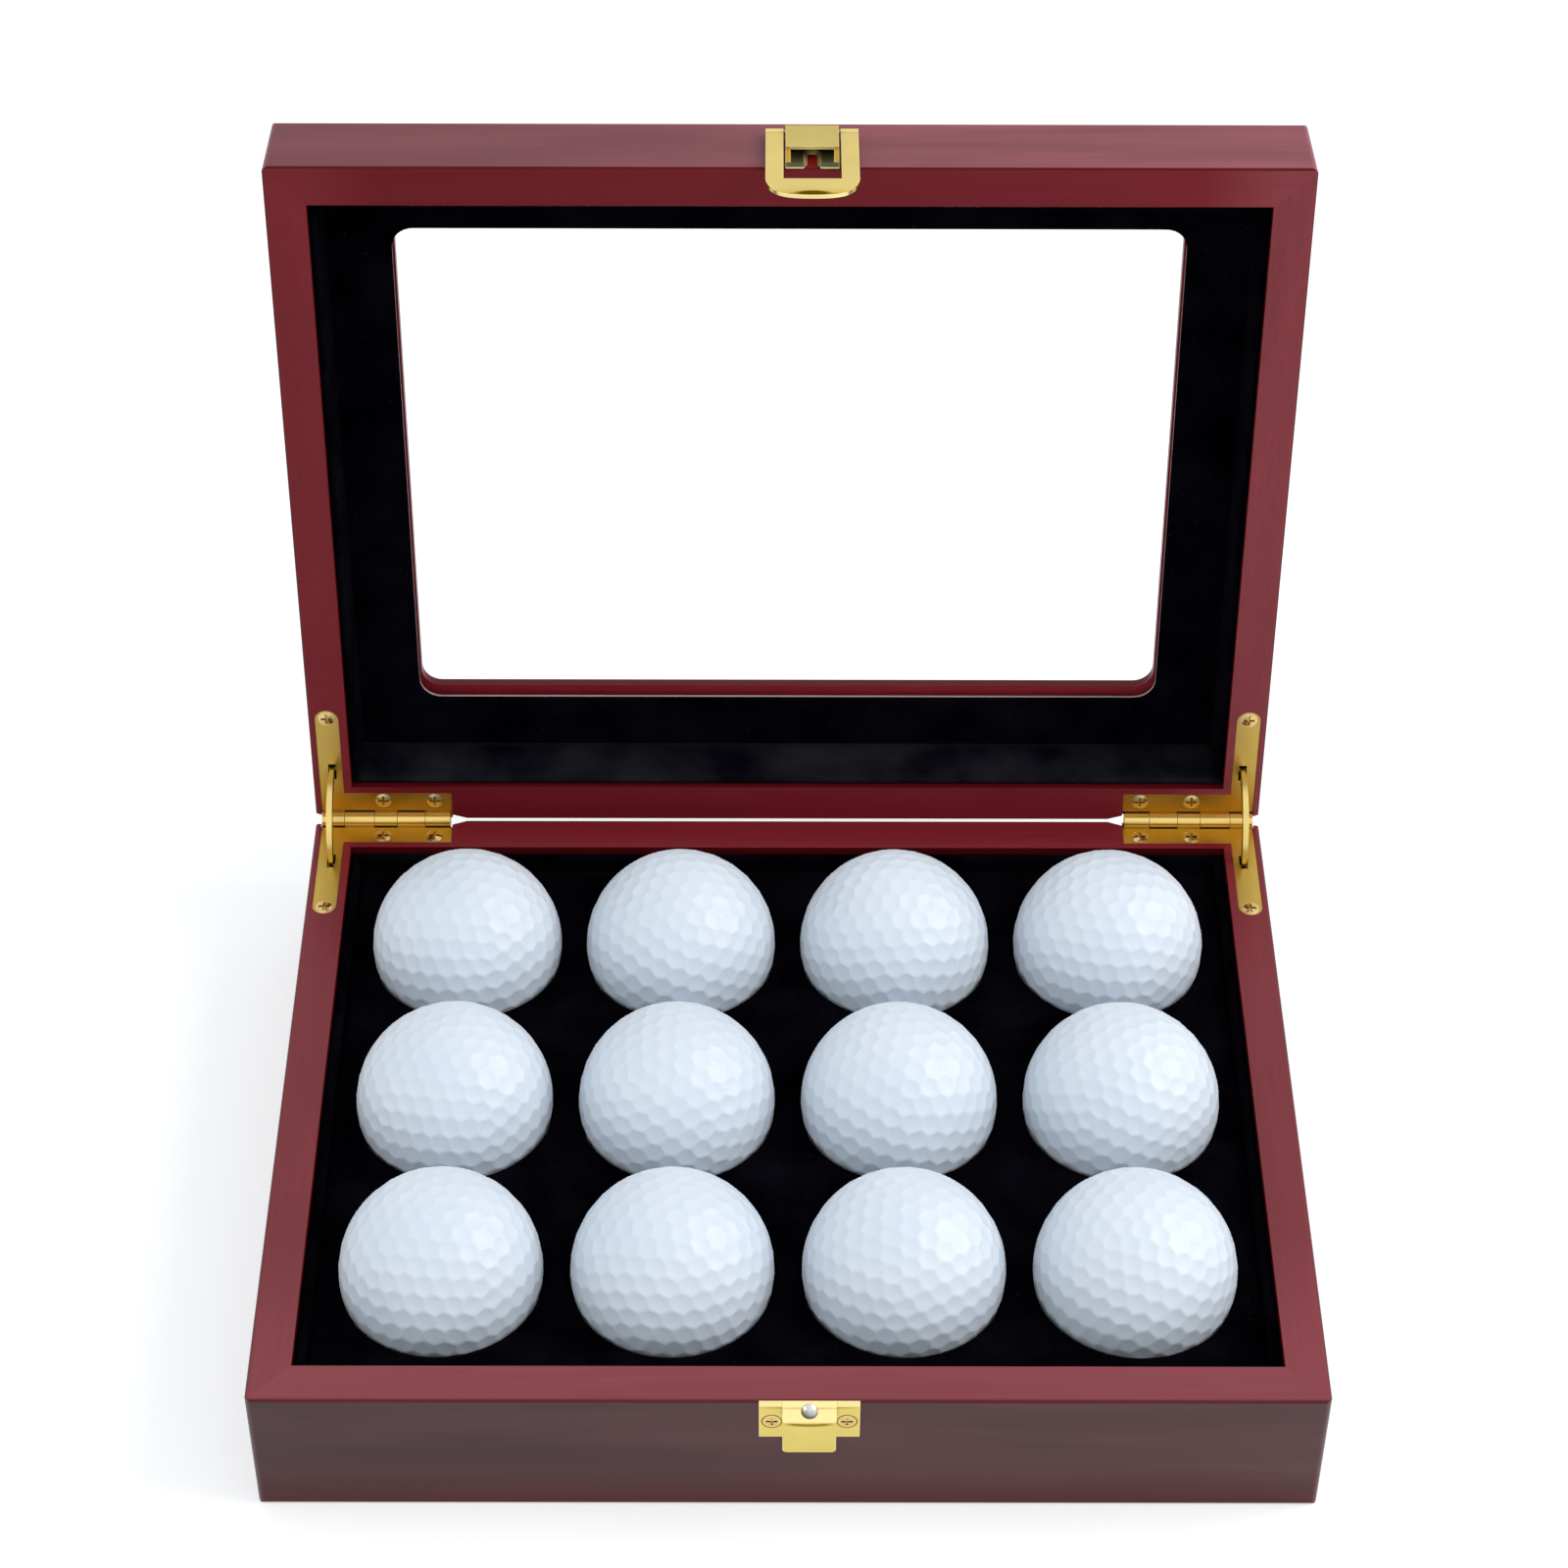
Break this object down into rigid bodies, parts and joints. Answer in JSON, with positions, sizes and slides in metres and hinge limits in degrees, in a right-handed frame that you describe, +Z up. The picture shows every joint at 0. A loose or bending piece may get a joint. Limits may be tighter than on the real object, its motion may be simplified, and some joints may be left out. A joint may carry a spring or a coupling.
{
  "type": "golf ball display case",
  "caption": "Hinged wooden display case with a glazed lid, a velvet tray of golf balls, brass stay hinges and a swinging latch.",
  "frame": {"origin": "centre of the base's underside, where the case rests on a table", "axes": "+X to the viewer's right along the hinge line, +Y from the latch towards the hinges, +Z up"},
  "size_m": [0.219, 0.2118, 0.2065],
  "materials": {
    "lacquered_wood": "satin lacquer",
    "black_velvet": "velvet",
    "foam": "matt",
    "polished_brass": "polished",
    "bright_steel": "polished",
    "clear_glass": "clear",
    "ball_cover": "gloss"
  },
  "bodies": {
    "base": {"base_front_rail": "lacquered_wood", "base_back_rail": "lacquered_wood", "base_left_rail": "lacquered_wood", "base_right_rail": "lacquered_wood", "base_bottom_panel": "lacquered_wood", "base_front_lining": "black_velvet", "base_back_lining": "black_velvet", "base_left_lining": "black_velvet", "base_right_lining": "black_velvet", "ball_tray": "black_velvet", "tray_underlay": "foam", "strike_plate": "polished_brass", "strike_screws": "polished_brass", "strike_pin": "bright_steel", "left_lower_leaf": "polished_brass", "right_lower_leaf": "polished_brass", "left_hinge_pin": "polished_brass", "right_hinge_pin": "polished_brass", "lower_leaf_screws": "polished_brass"},
    "lid": {"lid_front_rail": "lacquered_wood", "lid_back_rail": "lacquered_wood", "lid_left_rail": "lacquered_wood", "lid_right_rail": "lacquered_wood", "lid_top_panel": "lacquered_wood", "window_glass": "clear_glass", "lid_velvet_board": "black_velvet", "lid_front_lining": "black_velvet", "lid_back_lining": "black_velvet", "lid_left_lining": "black_velvet", "lid_right_lining": "black_velvet", "left_upper_leaf": "polished_brass", "right_upper_leaf": "polished_brass", "upper_leaf_screws": "polished_brass", "latch_plate": "polished_brass", "latch_nails": "polished_brass", "latch_pivot": "polished_brass"},
    "left_stay": {"left_stay": "polished_brass"},
    "right_stay": {"right_stay": "polished_brass"},
    "latch_bail": {"latch_bail": "polished_brass"},
    "golf_ball_1": {"golf_ball_1": "ball_cover"},
    "golf_ball_2": {"golf_ball_2": "ball_cover"},
    "golf_ball_3": {"golf_ball_3": "ball_cover"},
    "golf_ball_4": {"golf_ball_4": "ball_cover"},
    "golf_ball_5": {"golf_ball_5": "ball_cover"},
    "golf_ball_6": {"golf_ball_6": "ball_cover"},
    "golf_ball_7": {"golf_ball_7": "ball_cover"},
    "golf_ball_8": {"golf_ball_8": "ball_cover"},
    "golf_ball_9": {"golf_ball_9": "ball_cover"},
    "golf_ball_10": {"golf_ball_10": "ball_cover"},
    "golf_ball_11": {"golf_ball_11": "ball_cover"},
    "golf_ball_12": {"golf_ball_12": "ball_cover"}
  },
  "joints": [
    {"name": "lid_hinge", "type": "hinge", "parent": "base", "child": "lid", "pos_m": [0, 0.0842, 0.0348], "axis": [-1, 0, 0], "range_deg": [-97, 0]},
    {"name": "left_stay_hinge", "type": "hinge", "parent": "base", "child": "left_stay", "pos_m": [0, 0.0842, 0.0348], "axis": [-1, 0, 0], "range_deg": [-48.5, 0]},
    {"name": "right_stay_hinge", "type": "hinge", "parent": "base", "child": "right_stay", "pos_m": [0, 0.0842, 0.0348], "axis": [-1, 0, 0], "range_deg": [-48.5, 0]},
    {"name": "latch_hinge", "type": "hinge", "parent": "lid", "child": "latch_bail", "pos_m": [0.0046, 0.11875, 0.20133], "axis": [-1, 0, 0], "range_deg": [0, 130]},
    {"name": "golf_ball_1_lift", "type": "slide", "parent": "base", "child": "golf_ball_1", "axis": [0, 0, 1], "range_m": [0, 0.045]},
    {"name": "golf_ball_2_lift", "type": "slide", "parent": "base", "child": "golf_ball_2", "axis": [0, 0, 1], "range_m": [0, 0.045]},
    {"name": "golf_ball_3_lift", "type": "slide", "parent": "base", "child": "golf_ball_3", "axis": [0, 0, 1], "range_m": [0, 0.045]},
    {"name": "golf_ball_4_lift", "type": "slide", "parent": "base", "child": "golf_ball_4", "axis": [0, 0, 1], "range_m": [0, 0.045]},
    {"name": "golf_ball_5_lift", "type": "slide", "parent": "base", "child": "golf_ball_5", "axis": [0, 0, 1], "range_m": [0, 0.045]},
    {"name": "golf_ball_6_lift", "type": "slide", "parent": "base", "child": "golf_ball_6", "axis": [0, 0, 1], "range_m": [0, 0.045]},
    {"name": "golf_ball_7_lift", "type": "slide", "parent": "base", "child": "golf_ball_7", "axis": [0, 0, 1], "range_m": [0, 0.045]},
    {"name": "golf_ball_8_lift", "type": "slide", "parent": "base", "child": "golf_ball_8", "axis": [0, 0, 1], "range_m": [0, 0.045]},
    {"name": "golf_ball_9_lift", "type": "slide", "parent": "base", "child": "golf_ball_9", "axis": [0, 0, 1], "range_m": [0, 0.045]},
    {"name": "golf_ball_10_lift", "type": "slide", "parent": "base", "child": "golf_ball_10", "axis": [0, 0, 1], "range_m": [0, 0.045]},
    {"name": "golf_ball_11_lift", "type": "slide", "parent": "base", "child": "golf_ball_11", "axis": [0, 0, 1], "range_m": [0, 0.045]},
    {"name": "golf_ball_12_lift", "type": "slide", "parent": "base", "child": "golf_ball_12", "axis": [0, 0, 1], "range_m": [0, 0.045]}
  ],
  "couplings": [
    {"joint": "left_stay_hinge", "follows": "lid_hinge", "ratio": 0.5},
    {"joint": "right_stay_hinge", "follows": "lid_hinge", "ratio": 0.5}
  ]
}
